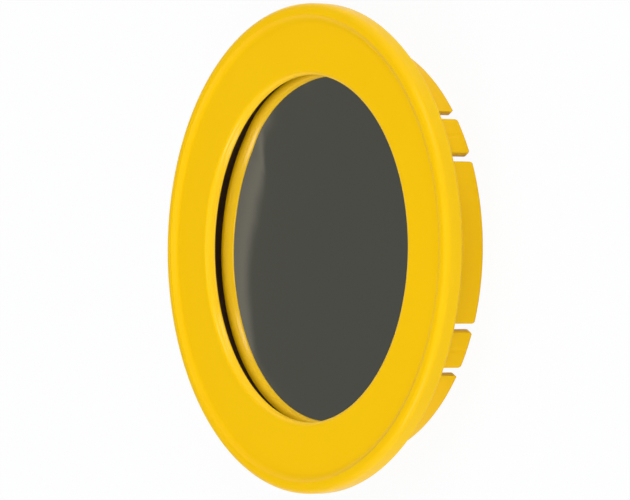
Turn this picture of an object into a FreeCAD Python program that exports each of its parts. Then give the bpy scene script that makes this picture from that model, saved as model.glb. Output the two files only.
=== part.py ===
import FreeCAD, Part
import math
import os
import Sketcher

# Solar filter cap for a small telescope, lying on the end of its collar with the window facing up.
# Z runs along the telescope's axis towards the sky. The origin is the middle of the collar's end.

SIZES = [
    ("tube_diameter", 91.0, "outside of the telescope's tube, which the collar slides over"),
    ("tube_clearance", 0.2, "from the tube to the collar's bore"),
    ("flange_overhang", 7.9, "from the collar's outside to the edge of the raised rim"),
    ("film_seat_step", 0.6, "from the collar's bore in to the narrower bore that holds the film"),
    ("window_ledge", 6.1, "from the film's seat in to the edge of the window"),
    ("plate_thickness", 2.9, "flat plate between lip and rim"),
    ("lip_round", 1.1, "front roll of the window's edge"),
    ("lip_back_round", 1.1, "the same roll on the back of that edge"),
    ("rim_width", 3.55, "radial width of the raised rim"),
    ("rim_rise", 0.95, "rim above the front of the plate"),
    ("rim_drop", 0.85, "rim below the back of the plate"),
    ("rim_front_round", 1.5, "outer front corner of the rim"),
    ("rim_back_bevel", 0.6, "outer back corner of the rim"),
    ("rim_step_slope", 1.15, "how far the steps between plate and rim lean"),
    ("collar_wall", 1.4, "thickness of the collar"),
    ("collar_depth", 12.15, "from the collar's end to the plate's back"),
    ("collar_end_bevel", 0.4, "outer corner of the collar's end"),
    ("collar_lead_in", 0.3, "bevel inside the collar's mouth"),
    ("collar_root_bevel", 0.4, "thicker foot where the collar leaves the plate"),
    ("tongue_count", 6, "spring tongues round the collar"),
    ("tongue_width", 9.0, "one tongue, between its two slots"),
    ("slot_width", 2.0, "slot on each side of a tongue"),
    ("slot_mouth_round", 1.0, "rounded corners where a slot opens"),
    ("crease_width", 1.7, "hollow down the middle of a tongue's outside"),
    ("crease_depth", 0.28, "depth of that hollow"),
    ("grip_rib_width", 2.4, "low rib down the middle of a tongue's inside"),
    ("grip_rib_height", 0.16, "how far the rib stands into the bore"),
    ("grip_rib_length", 5.5, "length of the rib"),
    ("grip_rib_start", 1.4, "from the collar's end to the rib"),
    ("film_ring_gap", 0.05, "from the film seat to the film rings"),
    ("film_ring_set_back", 1.8, "from the window's edge out to the inside of both film rings"),
    ("front_ring_thickness", 1.3, "ring between plate and film"),
    ("rear_ring_thickness", 2.6, "ring that closes the film in"),
    ("rear_ring_bevel", 0.8, "inner back corner of the rear ring"),
    ("film_thickness", 0.1, "metallised film"),
    ("film_margin", 0.6, "from the film's edge to the rings' outside"),
]


class Sized:
    """A number together with the sheet expression that gives it."""

    def __init__(self, value, text):
        self.value = value
        self.text = text

    def join(self, sign, other, value):
        text = other.text if isinstance(other, Sized) else repr(other)
        return Sized(value, "(%s %s %s)" % (self.text, sign, text))

    def __add__(self, other):
        return self.join("+", other, self.value + number(other))

    def __sub__(self, other):
        return self.join("-", other, self.value - number(other))

    def __mul__(self, other):
        return self.join("*", other, self.value * number(other))

    def __truediv__(self, other):
        return self.join("/", other, self.value / number(other))

    def __neg__(self):
        return Sized(-self.value, "(-%s)" % self.text)


def number(size):
    return size.value if isinstance(size, Sized) else float(size)


def make_sheet(doc):
    """Write the driving dimensions into the document's sheet."""
    sheet = doc.addObject("Spreadsheet::Sheet", "Sizes")
    for row, (alias, value, meaning) in enumerate(SIZES, start=1):
        sheet.set("A%d" % row, meaning)
        sheet.set("B%d" % row, str(value))
        sheet.setAlias("B%d" % row, alias)
    doc.recompute()
    return {alias: Sized(float(value), "Sizes.%s" % alias) for alias, value, _ in SIZES}


# Sketches

def origin_plane(body, role):
    return [item for item in body.Origin.OriginFeatures if item.Role == role][0]


def new_sketch(body, name, role, lift=None):
    """Start a sketch on one of the body's own origin planes, raised by a size where one is given."""
    sketch = body.newObject("Sketcher::SketchObject", name)
    sketch.AttachmentSupport = (origin_plane(body, role), [""])
    sketch.MapMode = "FlatFace"
    if lift is not None:
        sketch.setExpression("AttachmentOffset.Base.z", lift.text)
    return sketch


def bind(sketch, constraint, name, size):
    """Add a dimension and tie it to the sheet."""
    index = sketch.addConstraint(constraint)
    sketch.renameConstraint(index, name)
    sketch.setExpression("Constraints." + name, size.text)


def place_point(sketch, geometry, point, tag, across, along):
    """Fix one corner by its two distances from the sketch's origin."""
    horizontal_axis, vertical_axis, origin = -1, -2, 1
    if isinstance(across, Sized):
        where = Sketcher.Constraint("DistanceX", horizontal_axis, origin, geometry, point, across.value)
        bind(sketch, where, tag + "_across", across)
    else:
        sketch.addConstraint(Sketcher.Constraint("PointOnObject", geometry, point, vertical_axis))
    if isinstance(along, Sized):
        where = Sketcher.Constraint("DistanceY", horizontal_axis, origin, geometry, point, along.value)
        bind(sketch, where, tag + "_along", along)
    else:
        sketch.addConstraint(Sketcher.Constraint("PointOnObject", geometry, point, horizontal_axis))


def arc_between(start, end, radius, turn):
    """Arc from start to end that turns left (+1) or right (-1) on the way, as Sketcher stores it."""
    chord = end - start
    middle = (start + end) * 0.5
    normal = FreeCAD.Vector(-chord.y, chord.x, 0).normalize()
    rise = math.sqrt(max(radius ** 2 - (chord.Length / 2) ** 2, 0.0))
    centre = middle + normal * rise * turn
    circle = Part.Circle(centre, FreeCAD.Vector(0, 0, 1), radius)
    first, last = (start, end) if turn > 0 else (end, start)
    return Part.ArcOfCircle(circle, circle.parameter(first), circle.parameter(last))


def draw_outline(sketch, tag, corners):
    """Draw a closed outline.

    A corner is (across, along), or (across, along, radius, turn) where an arc leads on from it
    to the next corner. Every corner and radius is tied to the sheet, so the outline follows it.
    """
    count = len(corners)
    points = [FreeCAD.Vector(number(corner[0]), number(corner[1]), 0) for corner in corners]
    ends = []
    for index, corner in enumerate(corners):
        start, end = points[index], points[(index + 1) % count]
        if len(corner) == 2:
            edge = sketch.addGeometry(Part.LineSegment(start, end), False)
            ends.append((edge, 1, 2))
            continue
        radius, turn = corner[2], corner[3]
        edge = sketch.addGeometry(arc_between(start, end, radius.value, turn), False)
        ends.append((edge, 1, 2) if turn > 0 else (edge, 2, 1))
    for index in range(count):
        edge, _, last = ends[index]
        following, first, _ = ends[(index + 1) % count]
        sketch.addConstraint(Sketcher.Constraint("Coincident", edge, last, following, first))
    for index, corner in enumerate(corners):
        edge, first, _ = ends[index]
        place_point(sketch, edge, first, "%s%d" % (tag, index), corner[0], corner[1])
        if len(corner) == 4:
            shape = Sketcher.Constraint("Radius", edge, corner[2].value)
            bind(sketch, shape, "%s%d_radius" % (tag, index), corner[2])


def draw_circle(sketch, tag, radius):
    edge = sketch.addGeometry(Part.Circle(FreeCAD.Vector(), FreeCAD.Vector(0, 0, 1), radius.value), False)
    sketch.addConstraint(Sketcher.Constraint("Coincident", edge, 3, -1, 1))
    bind(sketch, Sketcher.Constraint("Radius", edge, radius.value), tag, radius)


# Features

def new_body(doc, name):
    body = doc.addObject("PartDesign::Body", name)
    body.Label = name
    return body


def revolve(body, name, sketch):
    feature = body.newObject("PartDesign::Revolution", name)
    feature.Profile = sketch
    feature.ReferenceAxis = (sketch, ["V_Axis"])
    feature.Angle = 360
    return feature


def extrude(body, name, sketch, kind, length, reverse=False):
    """Pad or Pocket by a length from the sheet, along the sketch's normal or against it."""
    feature = body.newObject("PartDesign::" + kind, name)
    feature.Profile = sketch
    feature.Reversed = reverse
    feature.setExpression("Length", length.text)
    return feature


def require_volume_change(doc, feature, before, grows):
    """Stop if a feature added or removed nothing."""
    doc.recompute()
    change = feature.Shape.Volume - before
    if (change > 0) != grows or abs(change) < 1e-3:
        raise RuntimeError("%s changed the volume by %.4f" % (feature.Label, change))
    return feature.Shape.Volume


# Radii and heights that several pieces share

def tube_radii(size):
    """Radii that follow from the telescope's tube."""
    bore = size["tube_diameter"] / 2 + size["tube_clearance"]
    collar = bore + size["collar_wall"]
    rim = collar + size["flange_overhang"]
    seat = bore - size["film_seat_step"]
    window = seat - size["window_ledge"]
    return {"bore": bore, "collar": collar, "rim": rim, "seat": seat, "window": window}


def ring_radii(size):
    """Inside and outside of the two rings that hold the film."""
    radius = tube_radii(size)
    return radius["window"] + size["film_ring_set_back"], radius["seat"] - size["film_ring_gap"]


def film_levels(size):
    """Heights of the faces that meet: the film's front and back, and the tube's stop."""
    film_front = size["collar_depth"] - size["front_ring_thickness"]
    film_back = film_front - size["film_thickness"]
    stop = film_back - size["rear_ring_thickness"]
    return film_front, film_back, stop


# The yellow cap: one moulding with rim, plate, rolled lip and slotted collar

# A small roll is drawn as two bevels that meet on its arc, at this share of its radius from each side.
ROLL_SHARE = 1 - math.sqrt(0.5)


def cap_section(body, size):
    """Half section of the moulding, which the revolution turns about the Z axis."""
    radius = tube_radii(size)
    rim, collar, bore = radius["rim"], radius["collar"], radius["bore"]
    seat, window = radius["seat"], radius["window"]
    foot = rim - size["rim_width"]
    back = size["collar_depth"]
    face = back + size["plate_thickness"]
    crest = face + size["rim_rise"]
    rim_back = back - size["rim_drop"]
    lip, lip_back = size["lip_round"], size["lip_back_round"]
    front, rear, slope = size["rim_front_round"], size["rim_back_bevel"], size["rim_step_slope"]
    root, end, lead = size["collar_root_bevel"], size["collar_end_bevel"], size["collar_lead_in"]
    _, _, stop = film_levels(size)
    window_wall = [
        (window + lip_back, back),
        (window + lip_back * ROLL_SHARE, back + lip_back * ROLL_SHARE),
        (window, back + lip_back),
        (window, face - lip),
        (window + lip * ROLL_SHARE, face - lip * ROLL_SHARE),
        (window + lip, face),
    ]
    rim_front = [
        (foot, face),
        (foot + slope, crest),
        (rim - front, crest, front, -1),
        (rim, crest - front),
    ]
    rim_rear = [
        (rim, rim_back + rear),
        (rim - rear, rim_back),
        (foot + slope, rim_back),
        (foot, back),
    ]
    collar_wall = [
        (collar + root, back),
        (collar, back - root),
        (collar, end),
        (collar - end, 0),
        (bore + lead, 0),
        (bore, lead),
        (bore, stop),
        (seat, stop),
        (seat, back),
    ]
    sketch = new_sketch(body, "cap_section", "XZ_Plane")
    draw_outline(sketch, "corner", window_wall + rim_front + rim_rear + collar_wall)
    return sketch


def slot_pair(body, size):
    """The two parallel slots beside the tongue on the +X side, with rounded mouths."""
    half_tongue = size["tongue_width"] / 2
    far_side = half_tongue + size["slot_width"]
    mouth = size["slot_mouth_round"]
    root = size["collar_depth"]
    below = -size["slot_mouth_round"]
    sketch = new_sketch(body, "slot_pair", "YZ_Plane")
    draw_outline(sketch, "right", [
        (half_tongue - mouth, below),
        (far_side + mouth, below),
        (far_side + mouth, 0, mouth, -1),
        (far_side, mouth),
        (far_side, root),
        (half_tongue, root),
        (half_tongue, mouth, mouth, -1),
        (half_tongue - mouth, 0),
    ])
    draw_outline(sketch, "left", [
        (-far_side - mouth, below),
        (-half_tongue + mouth, below),
        (-half_tongue + mouth, 0, mouth, -1),
        (-half_tongue, mouth),
        (-half_tongue, root),
        (-far_side, root),
        (-far_side, mouth, mouth, -1),
        (-far_side - mouth, 0),
    ])
    return sketch


def chord_radius(width, height):
    """Radius of the arc that spans a width and rises by a height, as a size."""
    return width * width / (height * 8) + height / 2


def crease(body, size):
    """Shallow round hollow down the middle of the tongue's outside."""
    wall = tube_radii(size)["collar"]
    half = size["crease_width"] / 2
    radius = chord_radius(size["crease_width"], size["crease_depth"])
    outside = wall + size["crease_depth"]
    sketch = new_sketch(body, "crease", "XY_Plane")
    draw_outline(sketch, "corner", [
        (outside, half),
        (wall, half, radius, 1),
        (wall, -half),
        (outside, -half),
    ])
    return sketch


def grip_rib(body, size):
    """Low rounded rib down the middle of the tongue's inside, which presses on the tube."""
    half = size["grip_rib_width"] / 2
    bore = tube_radii(size)["bore"]
    buried = bore + size["collar_wall"] / 2
    radius = chord_radius(size["grip_rib_width"], size["grip_rib_height"])
    sketch = new_sketch(body, "grip_rib", "XY_Plane", size["grip_rib_start"])
    draw_outline(sketch, "corner", [
        (buried, -half),
        (buried, half),
        (bore, half, radius, 1),
        (bore, -half),
    ])
    return sketch


def make_cap(doc, size):
    body = new_body(doc, "filter_cap")
    turned = revolve(body, "turned_section", cap_section(body, size))
    doc.recompute()
    volume = turned.Shape.Volume
    reach = tube_radii(size)["collar"] + size["collar_root_bevel"]
    slots = extrude(body, "tongue_slots", slot_pair(body, size), "Pocket", reach, reverse=True)
    volume = require_volume_change(doc, slots, volume, grows=False)
    hollow = extrude(body, "tongue_crease", crease(body, size), "Pocket", size["collar_depth"], reverse=True)
    volume = require_volume_change(doc, hollow, volume, grows=False)
    rib = extrude(body, "tongue_rib", grip_rib(body, size), "Pad", size["grip_rib_length"])
    require_volume_change(doc, rib, volume, grows=True)
    ring = body.newObject("PartDesign::PolarPattern", "all_tongues")
    ring.Originals = [slots, hollow, rib]
    ring.Axis = (origin_plane(body, "Z_Axis"), [""])
    ring.Angle = 360
    ring.setExpression("Occurrences", size["tongue_count"].text)
    body.Tip = ring
    doc.recompute()
    return body


# The film and the two black rings that hold it flat behind the plate

def make_front_ring(doc, size):
    body = new_body(doc, "front_film_ring")
    film_front, _, _ = film_levels(size)
    inside, outside = ring_radii(size)
    sketch = new_sketch(body, "ring_outline", "XY_Plane", film_front)
    draw_circle(sketch, "outside", outside)
    draw_circle(sketch, "inside", inside)
    extrude(body, "ring", sketch, "Pad", size["front_ring_thickness"])
    return body


def make_film(doc, size):
    body = new_body(doc, "solar_film")
    _, film_back, _ = film_levels(size)
    _, outside = ring_radii(size)
    sketch = new_sketch(body, "film_outline", "XY_Plane", film_back)
    draw_circle(sketch, "outside", outside - size["film_margin"])
    extrude(body, "film", sketch, "Pad", size["film_thickness"])
    return body


def make_rear_ring(doc, size):
    """Ring whose back is level with the step that stops the telescope's tube."""
    body = new_body(doc, "rear_film_ring")
    _, top, back = film_levels(size)
    inside, outside = ring_radii(size)
    bevel = size["rear_ring_bevel"]
    sketch = new_sketch(body, "ring_section", "XZ_Plane")
    draw_outline(sketch, "corner", [
        (inside, top),
        (outside, top),
        (outside, back),
        (inside + bevel, back),
        (inside, back + bevel),
    ])
    revolve(body, "ring", sketch)
    return body


# Checks and files

def check_document(doc, bodies):
    for item in doc.Objects:
        if "Invalid" in item.State or "Error" in item.State:
            raise RuntimeError("%s failed: %s" % (item.Label, item.State))
    for body in bodies:
        if body.Shape.isNull() or not body.Shape.isValid() or not body.Shape.Solids:
            raise RuntimeError("%s has no valid solid" % body.Label)


def main():
    doc = FreeCAD.newDocument("solar_filter")
    size = make_sheet(doc)
    makers = [make_cap, make_front_ring, make_film, make_rear_ring]
    bodies = [make(doc, size) for make in makers]
    doc.recompute()
    check_document(doc, bodies)
    os.makedirs("parts", exist_ok=True)
    for body in bodies:
        body.Shape.exportStep("parts/%s.step" % body.Label)
        print("%-16s %9.2f mm3 %2d solid" % (body.Label, body.Shape.Volume, len(body.Shape.Solids)))


main()
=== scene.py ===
import bpy
import bmesh
import math

from bpy.props import FloatProperty, FloatVectorProperty, IntProperty, PointerProperty
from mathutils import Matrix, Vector, noise


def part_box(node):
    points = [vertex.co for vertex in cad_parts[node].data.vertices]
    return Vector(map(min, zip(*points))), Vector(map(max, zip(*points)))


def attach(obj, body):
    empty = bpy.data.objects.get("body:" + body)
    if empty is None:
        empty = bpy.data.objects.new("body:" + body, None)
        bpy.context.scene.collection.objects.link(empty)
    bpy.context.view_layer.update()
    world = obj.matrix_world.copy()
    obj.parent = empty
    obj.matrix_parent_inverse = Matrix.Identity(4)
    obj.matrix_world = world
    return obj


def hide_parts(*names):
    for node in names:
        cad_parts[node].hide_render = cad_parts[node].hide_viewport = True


bl_info = {
    "name": "Telescope Solar Filter",
    "version": (1, 0, 0),
    "blender": (4, 5, 0),
    "location": "3D View > Sidebar > Solar Filter",
    "description": "Dresses a slip-on solar filter: yellow moulding, mirror film, black rings and studio",
    "category": "Object",
}

# The cap lies on the end of its collar, window up. All lengths are in metres.

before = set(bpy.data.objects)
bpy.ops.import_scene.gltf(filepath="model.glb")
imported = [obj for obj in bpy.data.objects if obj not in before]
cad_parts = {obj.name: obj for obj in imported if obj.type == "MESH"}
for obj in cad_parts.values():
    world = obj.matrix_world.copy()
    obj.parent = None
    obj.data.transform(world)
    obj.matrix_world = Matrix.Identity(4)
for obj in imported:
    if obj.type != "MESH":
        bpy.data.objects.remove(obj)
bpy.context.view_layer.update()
CAP_NODE = "filter_cap"
FRONT_RING_NODE = "front_film_ring"
FILM_NODE = "solar_film"
REAR_RING_NODE = "rear_film_ring"

# The moulding's section: rounds of its corners, how far its smaller steps reach, and the short flat edge
# that guards each round
LIP_ROLL = 0.0011
STEP_FOOT_ROUND = 0.0020
CREST_OUT = 0.00100
CREST_ROUND = 0.0004
RIM_TOP_ROUND = 0.0015
RIM_BACK_DROP = 0.00085
RIM_BACK_ROUND = 0.0008
RECESS_ROUND = 0.0006
COLLAR_ROOT_ROUND = 0.0005
COLLAR_END_ROUND = 0.0004
BORE_END_ROUND = 0.0003
SEAT_STEP = 0.0006
FLAT_GUARD = 0.00006
TURNED_AROUND = 360

# The slots, the hollow down each tongue and the grip rib inside it
CORNER_STEPS = 6
SLOT_MOUTH_ROUND = 0.001
SLOT_ROOT_GAP = 0.00003
SLOT_INSIDE = 0.0441
SLOT_PAST = 0.0012
HOLLOW_ROUND = 0.0011
HOLLOW_LEVELS = ((-0.001, -0.00006), (-0.0005, 0.00050))
HOLLOW_STEPS = 64
RIB_HALF_WIDTH = 0.0012
RIB_HEIGHT = 0.00016
RIB_ROOT = 0.0007
RIB_ENDS = (0.0014, 0.0069)
RIB_STEPS = 12
SMOOTH_BELOW = math.radians(28)

# The film: where it is loose and tight, in degrees round the axis, and the mesh's fineness
LOOSE_SPAN = (42.0, 62.0, 110.0, 138.0)
TIGHT_SPAN = (5.0, 32.0, 37.0, 50.0)
SLACK_FROM = 75.0
LOOSE_BEND = 0.25
GRIP_WIDTH = 0.0008
FILM_AROUND = 288
FILM_RINGS = 84

# The studio: the lamps' place, width, height and share of the lamp power
LAMPS = (
    ("Soft lamp below", (-2.07, -0.52, 1.40), 1.0, 0.9, 1.05),
    ("Soft lamp above", (1.86, -1.16, 1.42), 1.0, 0.9, 1.0),
    ("Soft lamp overhead", (0.0, -0.5, 2.2), 1.2, 0.8, 0.36),
)
FLOOR_COLOUR = (0.74, 0.78, 0.82)
FLOOR_GLOW_SEEN = 0.95
FLOOR_GLOW_MIRRORED = 0.55
BACKDROP_CURVE = 0.5
BACKDROP_STEPS = 8
BACKDROP_AROUND = 96

# The light tent climbs by the sine of the height; its opening and the room in it go by degrees
TENT_LOW_TO_MID = (0.24, 0.50)
TENT_MID_TO_HIGH = (0.50, 0.80)
OPENING_HEIGHT = math.radians(38.0)
OPENING_CLEAR = math.radians(20.0)
OPENING_END = math.radians(42.0)
ROOM_DEEP_TO_LIGHT = (31.2, 33.2)
ROOM_LIGHT_TO_DARK = (33.0, 34.3)

# Sockets of a Mix node that mixes colours
MIX_FIRST = 6
MIX_SECOND = 7
MIX_RESULT = 2


def node_top(name):
    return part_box(name)[1].z


def node_bottom(name):
    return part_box(name)[0].z


def node_radius(name):
    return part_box(name)[1].x


# Settings

class PlasticSettings(bpy.types.PropertyGroup):
    colour: FloatVectorProperty(
        name="Cap colour", description="Warm yellow of the moulding", subtype="COLOR",
        size=3, min=0.0, max=1.0, default=(0.89, 0.535, 0.003))
    colour_shift: FloatVectorProperty(
        name="Thick-wall colour", description="Slightly deeper yellow that drifts through the plastic",
        subtype="COLOR", size=3, min=0.0, max=1.0, default=(0.87, 0.51, 0.002))
    roughness: FloatProperty(
        name="Roughness", description="Satin gloss of the moulding", min=0.0, max=1.0, default=0.31)
    grain_size: FloatProperty(
        name="Grain size", description="Spacing of the mould's fine spark grain",
        unit="LENGTH", default=0.0004)
    grain_depth: FloatProperty(
        name="Grain depth", description="Height of that grain",
        unit="LENGTH", precision=7, default=0.000003)
    sink_size: FloatProperty(
        name="Waviness size", description="Spacing of the faint sinks in the plate",
        unit="LENGTH", default=0.014)
    edge_round: FloatProperty(
        name="Edge round", description="Radius that softens the moulding's sharp edges", unit="LENGTH",
        precision=5, default=0.0003)
    lip_polish: FloatProperty(
        name="Lip polish", description="Share of clear gloss on the window's lip", min=0.0, max=1.0,
        default=0.32)
    lip_polish_roughness: FloatProperty(
        name="Lip polish roughness", description="Haze of that gloss", min=0.0, max=1.0, default=0.22)
    lip_polish_full: FloatProperty(
        name="Lip polish, full", description="Radius inside which the gloss is full",
        unit="LENGTH", default=0.0393)
    lip_polish_end: FloatProperty(
        name="Lip polish, end", description="Radius at which the gloss ends",
        unit="LENGTH", default=0.0400)


class CapSettings(bpy.types.PropertyGroup):
    window: FloatProperty(
        name="Window", description="Radius of the window's edge", unit="LENGTH", default=0.0390)
    face: FloatProperty(
        name="Face height", description="Front of the flat plate", unit="LENGTH", default=0.01505)
    back: FloatProperty(
        name="Back height", description="Back of the flat plate", unit="LENGTH", default=0.01215)
    step: FloatProperty(
        name="Rim step", description="Radius where the plate ends and the step to the rim begins",
        unit="LENGTH", default=0.05145)
    collar: FloatProperty(
        name="Collar", description="Outside radius of the collar", unit="LENGTH", default=0.0471)
    bore: FloatProperty(
        name="Bore", description="Inside radius of the collar", unit="LENGTH", default=0.0457)
    tongues: IntProperty(name="Tongues", description="Spring tongues round the collar", default=6)
    tongue_width: FloatProperty(
        name="Tongue width", description="One tongue, between its two slots",
        unit="LENGTH", default=0.009)
    slot_width: FloatProperty(
        name="Slot width", description="Slot on each side of a tongue", unit="LENGTH", default=0.002)
    slot_edge: FloatProperty(
        name="Slot edge", description="Round of the outer edges along each slot",
        unit="LENGTH", default=0.0005)


class FilmSettings(bpy.types.PropertyGroup):
    colour: FloatVectorProperty(
        name="Film colour", description="Reflectance of the metal coat", subtype="COLOR",
        size=3, min=0.0, max=1.0, default=(0.82, 0.82, 0.80))
    roughness: FloatProperty(
        name="Roughness", description="Haze of the metal coat", min=0.0, max=1.0, default=0.035)
    # Painted light: strength of a glow of the film that only matt faces see, standing in for the light its
    # mirror throws up on the lip's underside
    bounce_glow: FloatProperty(
        name="Bounce", description="Light that the film throws up on the lip's underside",
        min=0.0, max=1.0, default=0.30)
    crown_start: FloatProperty(
        name="Crown start", description="Radius where the film begins to fall towards the ring",
        unit="LENGTH", default=0.0262)
    edge_slope: FloatProperty(
        name="Edge slope", description="Slope of the film where it meets the ring", subtype="ANGLE",
        unit="ROTATION", default=math.radians(2.4))
    lift: FloatProperty(
        name="Lift", description="How far the foam pushes the film up at its own edge", unit="LENGTH",
        precision=5, default=0.00006)
    slack: FloatProperty(
        name="Slack", description="How much narrower the falling margin is on the slack side",
        unit="LENGTH",
        default=0.0075)
    early_fall: FloatProperty(
        name="Early fall", description="How much wider the falling margin is where the film hangs loosest",
        unit="LENGTH", default=0.0034)
    late_fall: FloatProperty(
        name="Late fall", description="How much narrower that margin is beside it, where the film is tight",
        unit="LENGTH", default=0.0048)
    ripple_height: FloatProperty(
        name="Ripple height", description="Height of the soft ripples near the ring", unit="LENGTH",
        precision=6, default=0.00002)
    ring_inside: FloatProperty(
        name="Ring inside", description="Radius inside which the film hangs free",
        unit="LENGTH", default=0.0408)


class RingSettings(bpy.types.PropertyGroup):
    foam_colour: FloatVectorProperty(
        name="Front ring colour", description="Black of the dense foam ring", subtype="COLOR",
        size=3, min=0.0, max=1.0, default=(0.011, 0.004, 0.0008))
    plastic_colour: FloatVectorProperty(
        name="Rear ring colour", description="Black of the moulded ring", subtype="COLOR",
        size=3, min=0.0, max=1.0, default=(0.015, 0.015, 0.015))


class StudioSettings(bpy.types.PropertyGroup):
    floor_radius: FloatProperty(
        name="Floor radius", description="From the part to the foot of the backdrop",
        unit="LENGTH", default=3.2)
    wall_height: FloatProperty(
        name="Backdrop height", description="Height of the low backdrop all round",
        unit="LENGTH", default=0.72)
    lamp_power: FloatProperty(
        name="Lamp power", description="Power of each large soft lamp", unit="POWER", default=20.8)
    room_dark: FloatVectorProperty(
        name="Room above", description="Dim grey of the room above the lamps' reach", subtype="COLOR",
        size=3, default=(0.0845, 0.0862, 0.0728))
    room_light: FloatVectorProperty(
        name="Room below", description="Lighter grey of the room towards the backdrop", subtype="COLOR",
        size=3, default=(0.188, 0.176, 0.146))
    room_deep: FloatVectorProperty(
        name="Room lowest", description="Grey of the room just above the backdrop", subtype="COLOR",
        size=3, default=(0.150, 0.145, 0.118))
    tent_low: FloatVectorProperty(
        name="Tent low", description="White of the light tent near the floor", subtype="COLOR",
        size=3, default=(2.12, 2.16, 2.10))
    tent_low_sides: FloatVectorProperty(
        name="Tent low, sides", description="White of the light tent near the floor, to both sides",
        subtype="COLOR", size=3, default=(1.55, 1.55, 1.55))
    tent_mid: FloatVectorProperty(
        name="Tent mid", description="White of the light tent half-way up, in front and behind",
        subtype="COLOR", size=3, default=(0.56, 0.59, 0.56))
    tent_mid_sides: FloatVectorProperty(
        name="Tent mid, sides", description="White of the light tent half-way up, to both sides",
        subtype="COLOR", size=3, default=(1.35, 1.35, 1.35))
    tent_high: FloatVectorProperty(
        name="Tent high", description="White of the light tent overhead", subtype="COLOR",
        size=3, default=(0.39, 0.39, 0.39))
    camera_place: FloatVectorProperty(
        name="Camera place", description="Where the camera stands", subtype="TRANSLATION", unit="LENGTH",
        size=3, default=(-0.030271, -0.826800, 0.592992))
    camera_turn: FloatVectorProperty(
        name="Camera turn", description="The camera's turn, with the collar to the picture's right",
        subtype="EULER", unit="ROTATION", size=3,
        default=(math.radians(0.6793), math.radians(54.9078), math.radians(-91.2442)))
    lens: FloatProperty(
        name="Lens", description="Focal length on a 36 mm wide sensor", unit="CAMERA", default=257.14)


class SolarFilterSettings(bpy.types.PropertyGroup):
    plastic: PointerProperty(
        type=PlasticSettings, name="Plastic", description="The yellow moulding's surface")
    cap: PointerProperty(type=CapSettings, name="Cap", description="The yellow moulding's shape")
    film: PointerProperty(type=FilmSettings, name="Film", description="The mirror film")
    rings: PointerProperty(type=RingSettings, name="Rings", description="The two black rings")
    studio: PointerProperty(type=StudioSettings, name="Studio", description="Floor, lamps and camera")


# Small helpers for node trees

def add_node(tree, kind, **values):
    node = tree.nodes.new(kind)
    for name, value in values.items():
        setattr(node, name, value)
    return node


def link(tree, out_socket, in_socket):
    tree.links.new(out_socket, in_socket)


def math_node(tree, operation, first, second):
    node = add_node(tree, "ShaderNodeMath", operation=operation)
    for socket, value in zip(node.inputs, (first, second)):
        if isinstance(value, bpy.types.NodeSocket):
            link(tree, value, socket)
        else:
            socket.default_value = value
    return node.outputs[0]


def smooth_step(tree, value, low, high):
    """Rise smoothly from 0 where the value is low to 1 where it is high."""
    rise = add_node(tree, "ShaderNodeMapRange", interpolation_type="SMOOTHSTEP")
    rise.inputs["From Min"].default_value = low
    rise.inputs["From Max"].default_value = high
    link(tree, value, rise.inputs["Value"])
    return rise.outputs["Result"]


def noise_node(tree, vector, scale, detail, roughness=0.5):
    node = add_node(tree, "ShaderNodeTexNoise")
    node.inputs["Detail"].default_value = detail
    node.inputs["Roughness"].default_value = roughness
    link(tree, vector, node.inputs["Vector"])
    if isinstance(scale, bpy.types.NodeSocket):
        link(tree, scale, node.inputs["Scale"])
    else:
        node.inputs["Scale"].default_value = scale
    return node.outputs["Fac"]


def new_group(name, inputs, outputs):
    """Start a shader node group with named float and vector sockets."""
    group = bpy.data.node_groups.new(name, "ShaderNodeTree")
    for label, kind, default in inputs:
        socket = group.interface.new_socket(label, in_out="INPUT", socket_type=kind)
        if default is not None:
            socket.default_value = default
    for label, kind in outputs:
        group.interface.new_socket(label, in_out="OUTPUT", socket_type=kind)
    return group, add_node(group, "NodeGroupInput"), add_node(group, "NodeGroupOutput")


def moulded_surface():
    """Grain, faint waviness and handling marks of a moulded face, shared by both plastics and the foam."""
    name = "Moulded surface"
    if name in bpy.data.node_groups:
        return bpy.data.node_groups[name]
    group, enter, leave = new_group(
        name,
        [("Vector", "NodeSocketVector", None), ("Grain Scale", "NodeSocketFloat", 2500.0),
         ("Wave Scale", "NodeSocketFloat", 70.0), ("Wave Share", "NodeSocketFloat", 0.5),
         ("Roughness", "NodeSocketFloat", 0.4), ("Roughness Spread", "NodeSocketFloat", 0.06)],
        [("Height", "NodeSocketFloat"), ("Roughness", "NodeSocketFloat"), ("Tone", "NodeSocketFloat")])
    place = enter.outputs["Vector"]
    grain = noise_node(group, place, enter.outputs["Grain Scale"], 3.0, 0.6)
    wave = noise_node(group, place, enter.outputs["Wave Scale"], 1.0, 0.4)
    waves = math_node(group, "MULTIPLY", wave, enter.outputs["Wave Share"])
    link(group, math_node(group, "ADD", grain, waves), leave.inputs["Height"])
    rubbed = noise_node(group, place, 160.0, 5.0, 0.65)
    centred = math_node(group, "SUBTRACT", rubbed, 0.5)
    spread = math_node(group, "MULTIPLY", centred, enter.outputs["Roughness Spread"])
    link(group, math_node(group, "ADD", enter.outputs["Roughness"], spread), leave.inputs["Roughness"])
    link(group, noise_node(group, place, 38.0, 2.0, 0.5), leave.inputs["Tone"])
    return group


def new_material(name):
    material = bpy.data.materials.new(name)
    material.use_nodes = True
    tree = material.node_tree
    tree.nodes.clear()
    shader = add_node(tree, "ShaderNodeBsdfPrincipled")
    output = add_node(tree, "ShaderNodeOutputMaterial")
    link(tree, shader.outputs["BSDF"], output.inputs["Surface"])
    where = add_node(tree, "ShaderNodeTexCoord")
    return material, tree, shader, where.outputs["Object"]


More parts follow.
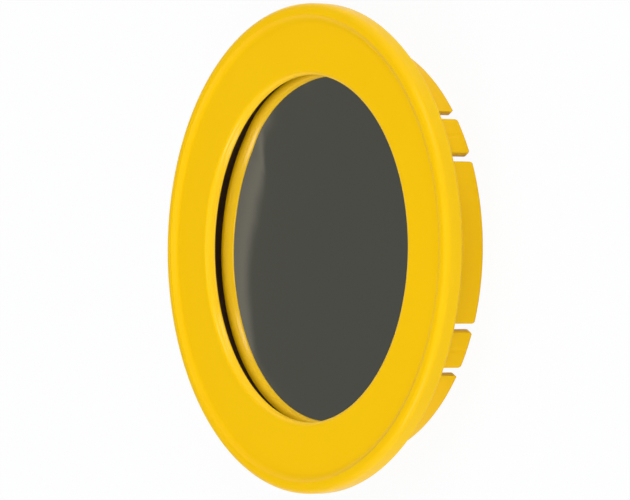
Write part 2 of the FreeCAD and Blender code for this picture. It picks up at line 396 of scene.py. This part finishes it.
def place_surface(tree, place, grain, wave, wave_share, roughness, spread):
    surface = add_node(tree, "ShaderNodeGroup", node_tree=moulded_surface())
    link(tree, place, surface.inputs["Vector"])
    surface.inputs["Grain Scale"].default_value = 1.0 / grain
    surface.inputs["Wave Scale"].default_value = 1.0 / wave
    surface.inputs["Wave Share"].default_value = wave_share
    surface.inputs["Roughness"].default_value = roughness
    surface.inputs["Roughness Spread"].default_value = spread
    return surface


def add_bump(tree, shader, height, distance, normal=None):
    bump = add_node(tree, "ShaderNodeBump")
    bump.inputs["Strength"].default_value = 1.0
    bump.inputs["Distance"].default_value = distance
    link(tree, height, bump.inputs["Height"])
    if normal is not None:
        link(tree, normal, bump.inputs["Normal"])
    link(tree, bump.outputs["Normal"], shader.inputs["Normal"])


def mix_colours(tree, factor, first, second):
    """Mix two colours, each of them given as numbers or by another node."""
    mix = add_node(tree, "ShaderNodeMix", data_type="RGBA")
    link(tree, factor, mix.inputs["Factor"])
    for socket, colour in ((mix.inputs[MIX_FIRST], first), (mix.inputs[MIX_SECOND], second)):
        if isinstance(colour, bpy.types.NodeSocket):
            link(tree, colour, socket)
        else:
            socket.default_value = (*colour, 1.0)
    return mix.outputs[MIX_RESULT]


def use_material(thing, material):
    thing.data.materials.clear()
    thing.data.materials.append(material)


# Small helpers for meshes

def object_from(work, name):
    """Make a scene object from a bmesh, which is freed."""
    mesh = bpy.data.meshes.new(name)
    work.to_mesh(mesh)
    work.free()
    thing = bpy.data.objects.new(name, mesh)
    bpy.context.scene.collection.objects.link(thing)
    return thing


def add_disc_faces(work, middle, rows):
    """Smooth faces of a disc: a fan round the middle, then quads from each row to the next."""
    around = len(rows[0])
    for turn in range(around):
        following = (turn + 1) % around
        work.faces.new((middle, rows[0][turn], rows[0][following]))
        for inner, outer in zip(rows, rows[1:]):
            work.faces.new((inner[turn], outer[turn], outer[following], inner[following]))
    for face in work.faces:
        face.smooth = True


# Materials

def yellow_plastic(settings):
    material, tree, shader, place = new_material("Yellow moulded plastic")
    surface = place_surface(
        tree, place, settings.grain_size, settings.sink_size, 2.0, settings.roughness, 0.08)
    link(tree, mix_colours(tree, surface.outputs["Tone"], settings.colour, settings.colour_shift),
         shader.inputs["Base Color"])
    link(tree, surface.outputs["Roughness"], shader.inputs["Roughness"])
    soft_edges = add_node(tree, "ShaderNodeBevel", samples=6)
    soft_edges.inputs["Radius"].default_value = settings.edge_round
    add_bump(tree, shader, surface.outputs["Height"], settings.grain_depth, soft_edges.outputs["Normal"])
    # The lip is glossier than the rest, so the band that the film mirrors has paler patches
    spot = add_node(tree, "ShaderNodeVectorMath", operation="MULTIPLY")
    spot.inputs[1].default_value = (1.0, 1.0, 0.0)
    link(tree, place, spot.inputs[0])
    radius = add_node(tree, "ShaderNodeVectorMath", operation="LENGTH")
    link(tree, spot.outputs["Vector"], radius.inputs[0])
    polish = add_node(tree, "ShaderNodeMapRange")
    polish.inputs["From Min"].default_value = settings.lip_polish_end
    polish.inputs["From Max"].default_value = settings.lip_polish_full
    polish.inputs["To Max"].default_value = settings.lip_polish
    link(tree, radius.outputs["Value"], polish.inputs["Value"])
    link(tree, polish.outputs["Result"], shader.inputs["Coat Weight"])
    shader.inputs["Coat Roughness"].default_value = settings.lip_polish_roughness
    shader.inputs["IOR"].default_value = 1.49
    shader.inputs["Specular IOR Level"].default_value = 0.12
    return material


def black_foam(settings):
    material, tree, shader, place = new_material("Black foam")
    surface = place_surface(tree, place, 0.0003, 0.002, 0.6, 0.85, 0.1)
    lighter = [channel * 2.2 for channel in settings.foam_colour]
    link(tree, mix_colours(tree, surface.outputs["Tone"], settings.foam_colour, lighter),
         shader.inputs["Base Color"])
    link(tree, surface.outputs["Roughness"], shader.inputs["Roughness"])
    add_bump(tree, shader, surface.outputs["Height"], 0.00004)
    shader.inputs["Specular IOR Level"].default_value = 0.2
    return material


def black_plastic(settings):
    material, tree, shader, place = new_material("Black moulded plastic")
    surface = place_surface(tree, place, 0.0005, 0.010, 1.0, 0.46, 0.12)
    lighter = [channel * 1.5 for channel in settings.plastic_colour]
    link(tree, mix_colours(tree, surface.outputs["Tone"], settings.plastic_colour, lighter),
         shader.inputs["Base Color"])
    link(tree, surface.outputs["Roughness"], shader.inputs["Roughness"])
    add_bump(tree, shader, surface.outputs["Height"], 0.000012)
    return material


def mirror_film(settings):
    material, tree, shader, place = new_material("Metallised film")
    shader.inputs["Metallic"].default_value = 1.0
    # Painted light: the film glows, for diffuse rays only, so the matt faces near it (the lip's underside
    # most) get this glow in place of the light that a mirror throws back
    path = add_node(tree, "ShaderNodeLightPath")
    link(tree, mix_colours(tree, path.outputs["Is Diffuse Ray"], (0.0, 0.0, 0.0), [settings.bounce_glow] * 3),
         shader.inputs["Emission Color"])
    shader.inputs["Emission Strength"].default_value = 1.0
    smear = noise_node(tree, place, 90.0, 4.0, 0.6)
    dim = [channel * 0.97 for channel in settings.colour]
    link(tree, mix_colours(tree, smear, settings.colour, dim), shader.inputs["Base Color"])
    haze = math_node(tree, "MULTIPLY", smear, 0.02)
    link(tree, math_node(tree, "ADD", haze, settings.roughness), shader.inputs["Roughness"])
    crinkle = noise_node(tree, place, 260.0, 2.0, 0.5)
    add_bump(tree, shader, crinkle, 0.0000015)
    return material


# The cap

def rounded_outline(corners, steps=7):
    """Points of a closed outline whose corners (across, along, round) are rounded.

    Short edges beside each round keep the smooth shading of the flat faces flat.
    """
    points = []
    count = len(corners)
    for index, (across, along, reach) in enumerate(corners):
        here = Vector((across, along))
        before, after = Vector(corners[index - 1][:2]), Vector(corners[(index + 1) % count][:2])
        into, out = (here - before).normalized(), (after - here).normalized()
        turn = into.angle_signed(out)
        if reach <= 0.0 or abs(turn) < 0.01:
            points.append(here)
            continue
        tangent = reach * math.tan(abs(turn) / 2)
        first, last = here - into * tangent, here + out * tangent
        side = Vector((-into.y, into.x)) * (-1.0 if turn > 0 else 1.0)
        centre = first + side * reach
        points.append(first - into * FLAT_GUARD)
        arm = first - centre
        for step in range(steps + 1):
            angle = -turn * step / steps
            points.append(centre + Vector((arm.x * math.cos(angle) - arm.y * math.sin(angle),
                                           arm.x * math.sin(angle) + arm.y * math.cos(angle))))
        points.append(last + out * FLAT_GUARD)
    return points


def cap_outline(cap):
    """The moulding's section, from the window's lip round the rim and down the collar, in metres."""
    top, rim = node_top(CAP_NODE), node_radius(CAP_NODE)
    crest, rim_back = cap.step + CREST_OUT, cap.back - RIM_BACK_DROP
    seat, stop = cap.bore - SEAT_STEP, node_bottom(REAR_RING_NODE)
    return rounded_outline([
        (cap.window, cap.back, LIP_ROLL), (cap.window, cap.face, LIP_ROLL),
        (cap.step, cap.face, STEP_FOOT_ROUND), (crest, top, CREST_ROUND),
        (rim, top, RIM_TOP_ROUND), (rim, rim_back, RIM_BACK_ROUND),
        (crest, rim_back, RECESS_ROUND), (cap.step, cap.back, RECESS_ROUND),
        (cap.collar, cap.back, COLLAR_ROOT_ROUND), (cap.collar, 0.0, COLLAR_END_ROUND),
        (cap.bore, 0.0, BORE_END_ROUND), (cap.bore, stop, 0.0),
        (seat, stop, 0.0), (seat, cap.back, 0.0),
    ])


def turned(name, outline):
    """A ring made by turning a closed outline about the part's axis."""
    work = bmesh.new()
    columns = []
    for index in range(TURNED_AROUND):
        turn = math.tau * index / TURNED_AROUND
        cosine, sine = math.cos(turn), math.sin(turn)
        columns.append([work.verts.new((point.x * cosine, point.x * sine, point.y)) for point in outline])
    for here, following in zip(columns, columns[1:] + columns[:1]):
        for index in range(len(outline)):
            other = (index + 1) % len(outline)
            work.faces.new((here[index], following[index], following[other], here[other]))
    bmesh.ops.recalc_face_normals(work, faces=work.faces[:])
    return object_from(work, name)


def add_loft(work, sections, axis, turn):
    """Add a solid through (level, outline) sections stacked along X or Z, and turn it about Z."""
    cosine, sine = math.cos(turn), math.sin(turn)
    rows = []
    for level, outline in sections:
        row = []
        for first, second in outline:
            x, y, z = (level, first, second) if axis == "X" else (first, second, level)
            row.append(work.verts.new((x * cosine - y * sine, x * sine + y * cosine, z)))
        rows.append(row)
    faces = [work.faces.new(rows[0][::-1]), work.faces.new(rows[-1])]
    for lower, upper in zip(rows, rows[1:]):
        for index in range(len(lower)):
            other = (index + 1) % len(lower)
            faces.append(work.faces.new((lower[index], lower[other], upper[other], upper[index])))
    bmesh.ops.recalc_face_normals(work, faces=faces)


def slot_outline(near, far, mouth, root):
    """A slot seen from outside: straight sides, open below, with rounded corners at its mouth."""
    points = [(far, root), (near, root)]
    for step in range(CORNER_STEPS + 1):
        turn = math.pi / 2 * step / CORNER_STEPS
        points.append((near - mouth + mouth * math.cos(turn), mouth - mouth * math.sin(turn)))
    points += [(near - mouth, -mouth), (far + mouth, -mouth)]
    for step in range(CORNER_STEPS + 1):
        turn = math.pi / 2 * step / CORNER_STEPS
        points.append((far + mouth - mouth * math.sin(turn), mouth - mouth * math.cos(turn)))
    return points


def tool_object(name, fill):
    """An object whose mesh the given function fills; it cuts or adds and is then removed."""
    work = bmesh.new()
    fill(work)
    return object_from(work, name)


def combine(thing, tool, operation):
    """Cut a tool out of an object, or join it on, and remove the tool."""
    change = thing.modifiers.new(operation.title(), "BOOLEAN")
    change.operation, change.object, change.solver = operation, tool, "EXACT"
    bpy.context.view_layer.update()
    shaped = thing.evaluated_get(bpy.context.evaluated_depsgraph_get())
    mesh = bpy.data.meshes.new_from_object(shaped)
    if len(mesh.polygons) < 100:
        raise RuntimeError("%s: %s left no mesh" % (thing.name, operation))
    thing.modifiers.clear()
    old, thing.data = thing.data, mesh
    bpy.data.meshes.remove(old)
    bpy.data.meshes.remove(tool.data)


class SOLARFILTER_OT_cap(bpy.types.Operator):
    """Turn the yellow moulding, cut its slots and hollows and add its grip ribs"""

    bl_idname = "solar_filter.cap"
    bl_label = "Filter cap"

    def execute(self, context):
        settings = context.scene.solar_filter
        cap = settings.cap
        body = turned("filter_cap_moulding", cap_outline(cap))
        turns = [math.tau * index / cap.tongues for index in range(cap.tongues)]
        near, root = cap.tongue_width / 2, cap.back - SLOT_ROOT_GAP
        far = near + cap.slot_width

        def slots(work):
            edge = cap.slot_edge
            sections = [(SLOT_INSIDE, 0.0)]
            for step in range(CORNER_STEPS + 1):
                swing = math.pi / 2 * step / CORNER_STEPS
                sections.append((cap.collar - edge + edge * math.sin(swing), edge - edge * math.cos(swing)))
            sections.append((cap.collar + SLOT_PAST, edge + SLOT_PAST))
            sides = [(level, slot_outline(near - grow, far + grow, SLOT_MOUTH_ROUND, root))
                     for level, grow in sections]
            mirrored = [(level, [(-across, along) for across, along in reversed(outline)])
                        for level, outline in sides]
            for turn in turns:
                add_loft(work, sides, "X", turn)
                add_loft(work, mirrored, "X", turn)

        def hollows(work):
            swings = [math.tau * step / HOLLOW_STEPS for step in range(HOLLOW_STEPS)]
            (below, shallow), (above, deep) = HOLLOW_LEVELS
            sections = []
            for level, depth in ((below, shallow), (cap.back + above, deep)):
                middle = cap.collar - depth + HOLLOW_ROUND
                sections.append((level, [(middle + HOLLOW_ROUND * math.cos(swing),
                                          HOLLOW_ROUND * math.sin(swing)) for swing in swings]))
            for turn in turns:
                add_loft(work, sections, "Z", turn)

        def ribs(work):
            outline = [(cap.bore + RIB_ROOT, -RIB_HALF_WIDTH), (cap.bore + RIB_ROOT, RIB_HALF_WIDTH)]
            for step in range(RIB_STEPS + 1):
                across = RIB_HALF_WIDTH * (1 - 2 * step / RIB_STEPS)
                crown = RIB_HEIGHT * math.cos(math.pi / 2 * across / RIB_HALF_WIDTH)
                outline.append((cap.bore - crown, across))
            for turn in turns:
                add_loft(work, [(level, outline) for level in RIB_ENDS], "Z", turn)

        combine(body, tool_object("hollow_cutters", hollows), "DIFFERENCE")
        combine(body, tool_object("slot_cutters", slots), "DIFFERENCE")
        combine(body, tool_object("rib_tools", ribs), "UNION")
        body.data.polygons.foreach_set("use_smooth", [True] * len(body.data.polygons))
        body.data.set_sharp_from_angle(angle=SMOOTH_BELOW)
        use_material(body, yellow_plastic(settings.plastic))
        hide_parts(CAP_NODE)
        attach(body, "root")
        return {"FINISHED"}


# The film

def eased(value, low, high):
    """Rise smoothly from 0 at low to 1 at high."""
    share = min(1.0, max(0.0, (value - low) / (high - low)))
    return share * share * (3 - 2 * share)


def within(value, span):
    """Rise from 0 to 1 over the span's first two values and back to 0 over its last two."""
    return eased(value, span[0], span[1]) - eased(value, span[2], span[3])


def film_height(settings, radius, angle):
    """Height of the film above its seat: a flat middle, a fall towards the ring and soft ripples there."""
    edge = settings.ring_inside
    if radius >= edge:
        return 0.0
    bend = math.tan(settings.edge_slope) / (edge - settings.crown_start)
    crown = settings.lift + bend * (edge - settings.crown_start) ** 2 / 2
    turn = math.degrees(math.remainder(angle, math.tau))
    loose = within(turn, LOOSE_SPAN)
    start = settings.crown_start + settings.slack * max(0.0, math.sin(math.radians(turn - SLACK_FROM)))
    start -= settings.early_fall * loose
    start += settings.late_fall * within(turn, TIGHT_SPAN)
    if radius > start:
        crown -= bend * (1 - LOOSE_BEND * loose) * (radius - start) ** 2 / 2
    if radius > edge - GRIP_WIDTH:
        crown *= 1 - ((radius - edge) / GRIP_WIDTH + 1) ** 2
    spot = Vector((math.cos(angle), math.sin(angle), 0.0))
    pull = noise.noise(spot * 2.3 + Vector((3.7, 1.1, 0.4))) + 0.5 * noise.noise(spot * 5.1)
    near_ring = (radius / edge) ** 3 * (1 - (radius / edge) ** 12)
    return crown + settings.ripple_height * pull * near_ring


class SOLARFILTER_OT_film(bpy.types.Operator):
    """Build the thin metallised film, slightly crowned and rippled where the rings grip it"""

    bl_idname = "solar_filter.film"
    bl_label = "Solar film"

    def execute(self, context):
        settings = context.scene.solar_filter.film
        outside, level = node_radius(FILM_NODE), node_top(FILM_NODE)
        work = bmesh.new()
        middle = work.verts.new((0.0, 0.0, level + film_height(settings, 0.0, 0.0)))
        rows = []
        for step in range(1, FILM_RINGS + 1):
            radius = outside * step / FILM_RINGS
            row = []
            for turn in range(FILM_AROUND):
                angle = math.tau * turn / FILM_AROUND
                height = level + film_height(settings, radius, angle)
                row.append(work.verts.new((radius * math.cos(angle), radius * math.sin(angle), height)))
            rows.append(row)
        add_disc_faces(work, middle, rows)
        film = object_from(work, "mirror_film")
        thick = film.modifiers.new("Film thickness", "SOLIDIFY")
        thick.thickness = node_top(FILM_NODE) - node_bottom(FILM_NODE)
        thick.offset = -1.0
        use_material(film, mirror_film(settings))
        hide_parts(FILM_NODE)
        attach(film, "root")
        return {"FINISHED"}


# The rings

class SOLARFILTER_OT_rings(bpy.types.Operator):
    """Give the foam ring in front of the film and the moulded ring behind it their blacks"""

    bl_idname = "solar_filter.rings"
    bl_label = "Film rings"

    def execute(self, context):
        settings = context.scene.solar_filter.rings
        use_material(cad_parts[FRONT_RING_NODE], black_foam(settings))
        use_material(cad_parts[REAR_RING_NODE], black_plastic(settings))
        return {"FINISHED"}


# The studio

def studio_white():
    """White floor that still takes the part's shadow."""
    material = bpy.data.materials.new("Studio white")
    material.use_nodes = True
    tree = material.node_tree
    tree.nodes.clear()
    output = add_node(tree, "ShaderNodeOutputMaterial")
    matt = add_node(tree, "ShaderNodeBsdfDiffuse")
    matt.inputs["Color"].default_value = (*FLOOR_COLOUR, 1.0)
    glow = add_node(tree, "ShaderNodeEmission")
    glow.inputs["Strength"].default_value = 1.0
    path = add_node(tree, "ShaderNodeLightPath")
    mirrored = math_node(
        tree, "MAXIMUM", path.outputs["Is Glossy Ray"], path.outputs["Is Transmission Ray"])
    share = math_node(
        tree, "MAXIMUM", math_node(tree, "MULTIPLY", path.outputs["Is Camera Ray"], FLOOR_GLOW_SEEN),
        math_node(tree, "MULTIPLY", mirrored, FLOOR_GLOW_MIRRORED))
    mix = add_node(tree, "ShaderNodeMixShader")
    link(tree, share, mix.inputs["Fac"])
    link(tree, matt.outputs["BSDF"], mix.inputs[1])
    link(tree, glow.outputs["Emission"], mix.inputs[2])
    link(tree, mix.outputs["Shader"], output.inputs["Surface"])
    return material


def build_backdrop(settings):
    """Round floor whose edge curves up into a low wall."""
    flat = settings.floor_radius - BACKDROP_CURVE
    profile = [(flat, 0.0)]
    for step in range(1, BACKDROP_STEPS + 1):
        turn = math.pi / 2 * step / BACKDROP_STEPS
        profile.append((flat + BACKDROP_CURVE * math.sin(turn), BACKDROP_CURVE * (1 - math.cos(turn))))
    profile.append((settings.floor_radius, settings.wall_height))
    work = bmesh.new()
    middle = work.verts.new((0.0, 0.0, 0.0))
    turns = [math.tau * index / BACKDROP_AROUND for index in range(BACKDROP_AROUND)]
    rows = [[work.verts.new((radius * math.cos(turn), radius * math.sin(turn), height)) for turn in turns]
            for radius, height in profile]
    add_disc_faces(work, middle, rows)
    floor = object_from(work, "studio_floor")
    use_material(floor, studio_white())


def add_lamp(name, place, width, height, power):
    """A large soft lamp that faces the part."""
    data = bpy.data.lights.new(name, "AREA")
    data.shape = "RECTANGLE"
    data.size, data.size_y = width, height
    data.energy = power
    lamp = bpy.data.objects.new(name, data)
    lamp.location = place
    lamp.rotation_mode = "QUATERNION"
    lamp.rotation_quaternion = (-Vector(place)).to_track_quat("-Z", "Y")
    bpy.context.scene.collection.objects.link(lamp)


def room_light(settings):
    """A white light tent with one dim opening on the far side, which is what the film mirrors.

    The opening is an even grey, a little lighter towards the backdrop. Mirrored rays see that grey room
    all round, so the film is dark from every side, while the matt faces take their light from the tent.
    """
    world = bpy.data.worlds.new("Studio room")
    bpy.context.scene.world = world
    world.use_nodes = True
    tree = world.node_tree
    tree.nodes.clear()
    output = add_node(tree, "ShaderNodeOutputWorld")
    room = add_node(tree, "ShaderNodeBackground")
    where = add_node(tree, "ShaderNodeTexCoord")
    parts = add_node(tree, "ShaderNodeSeparateXYZ")
    link(tree, where.outputs["Generated"], parts.inputs[0])
    height = parts.outputs["Z"]

    def climb(degrees):
        low, high = [math.sin(math.radians(angle)) for angle in degrees]
        return smooth_step(tree, height, low, high)

    opening = mix_colours(tree, climb(ROOM_DEEP_TO_LIGHT), settings.room_deep, settings.room_light)
    opening = mix_colours(tree, climb(ROOM_LIGHT_TO_DARK), opening, settings.room_dark)
    sideways = math_node(tree, "MULTIPLY", parts.outputs["X"], parts.outputs["X"])
    low = mix_colours(tree, sideways, settings.tent_low, settings.tent_low_sides)
    middle = mix_colours(tree, sideways, settings.tent_mid, settings.tent_mid_sides)
    tent = mix_colours(tree, smooth_step(tree, height, *TENT_LOW_TO_MID), low, middle)
    tent = mix_colours(tree, smooth_step(tree, height, *TENT_MID_TO_HIGH), tent, settings.tent_high)
    facing = add_node(tree, "ShaderNodeVectorMath", operation="DOT_PRODUCT")
    facing.inputs[1].default_value = (0.0, math.cos(OPENING_HEIGHT), math.sin(OPENING_HEIGHT))
    link(tree, where.outputs["Generated"], facing.inputs[0])
    near = smooth_step(tree, facing.outputs["Value"], math.cos(OPENING_END), math.cos(OPENING_CLEAR))
    path = add_node(tree, "ShaderNodeLightPath")
    straight = math_node(tree, "LESS_THAN", path.outputs["Diffuse Depth"], 0.5)
    mirrored = math_node(tree, "MULTIPLY", path.outputs["Is Glossy Ray"], straight)
    dim = math_node(tree, "MAXIMUM", near, mirrored)
    link(tree, mix_colours(tree, dim, tent, opening), room.inputs["Color"])
    link(tree, room.outputs["Background"], output.inputs["Surface"])


def add_camera(settings):
    data = bpy.data.cameras.new("Photo camera")
    data.sensor_fit = "HORIZONTAL"
    data.sensor_width = 36.0
    data.lens = settings.lens
    data.clip_start, data.clip_end = 0.05, 50.0
    camera = bpy.data.objects.new("Photo camera", data)
    camera.location = settings.camera_place
    camera.rotation_euler = settings.camera_turn
    bpy.context.scene.collection.objects.link(camera)
    bpy.context.scene.camera = camera


class SOLARFILTER_OT_stage(bpy.types.Operator):
    """Set up the white floor, the soft lamps, the dim room and the camera"""

    bl_idname = "solar_filter.stage"
    bl_label = "Studio"

    def execute(self, context):
        settings = context.scene.solar_filter.studio
        build_backdrop(settings)
        for name, place, width, height, share in LAMPS:
            add_lamp(name, place, width, height, settings.lamp_power * share)
        room_light(settings)
        add_camera(settings)
        context.scene.view_settings.view_transform = "Standard"
        return {"FINISHED"}


class SOLARFILTER_PT_panel(bpy.types.Panel):
    """Buttons and sizes of the solar filter"""

    bl_idname = "SOLARFILTER_PT_panel"
    bl_label = "Solar Filter"
    bl_space_type = "VIEW_3D"
    bl_region_type = "UI"
    bl_category = "Solar Filter"

    def draw(self, context):
        settings = context.scene.solar_filter
        layout = self.layout
        for group, buttons in (
            (settings.plastic, ()),
            (settings.cap, ("solar_filter.cap",)),
            (settings.film, ("solar_filter.film",)),
            (settings.rings, ("solar_filter.rings",)),
            (settings.studio, ("solar_filter.stage",)),
        ):
            box = layout.box()
            for button in buttons:
                box.operator(button)
            for name in group.bl_rna.properties.keys():
                if name not in ("rna_type", "name"):
                    box.prop(group, name)


CLASSES = (
    PlasticSettings,
    CapSettings,
    FilmSettings,
    RingSettings,
    StudioSettings,
    SolarFilterSettings,
    SOLARFILTER_OT_cap,
    SOLARFILTER_OT_film,
    SOLARFILTER_OT_rings,
    SOLARFILTER_OT_stage,
    SOLARFILTER_PT_panel,
)


def register():
    for item in CLASSES:
        bpy.utils.register_class(item)
    bpy.types.Scene.solar_filter = PointerProperty(type=SolarFilterSettings)


def unregister():
    del bpy.types.Scene.solar_filter
    for item in reversed(CLASSES):
        bpy.utils.unregister_class(item)


def main():
    register()
    bpy.ops.solar_filter.cap()
    bpy.ops.solar_filter.film()
    bpy.ops.solar_filter.rings()
    bpy.ops.solar_filter.stage()


if __name__ == "__main__":
    main()
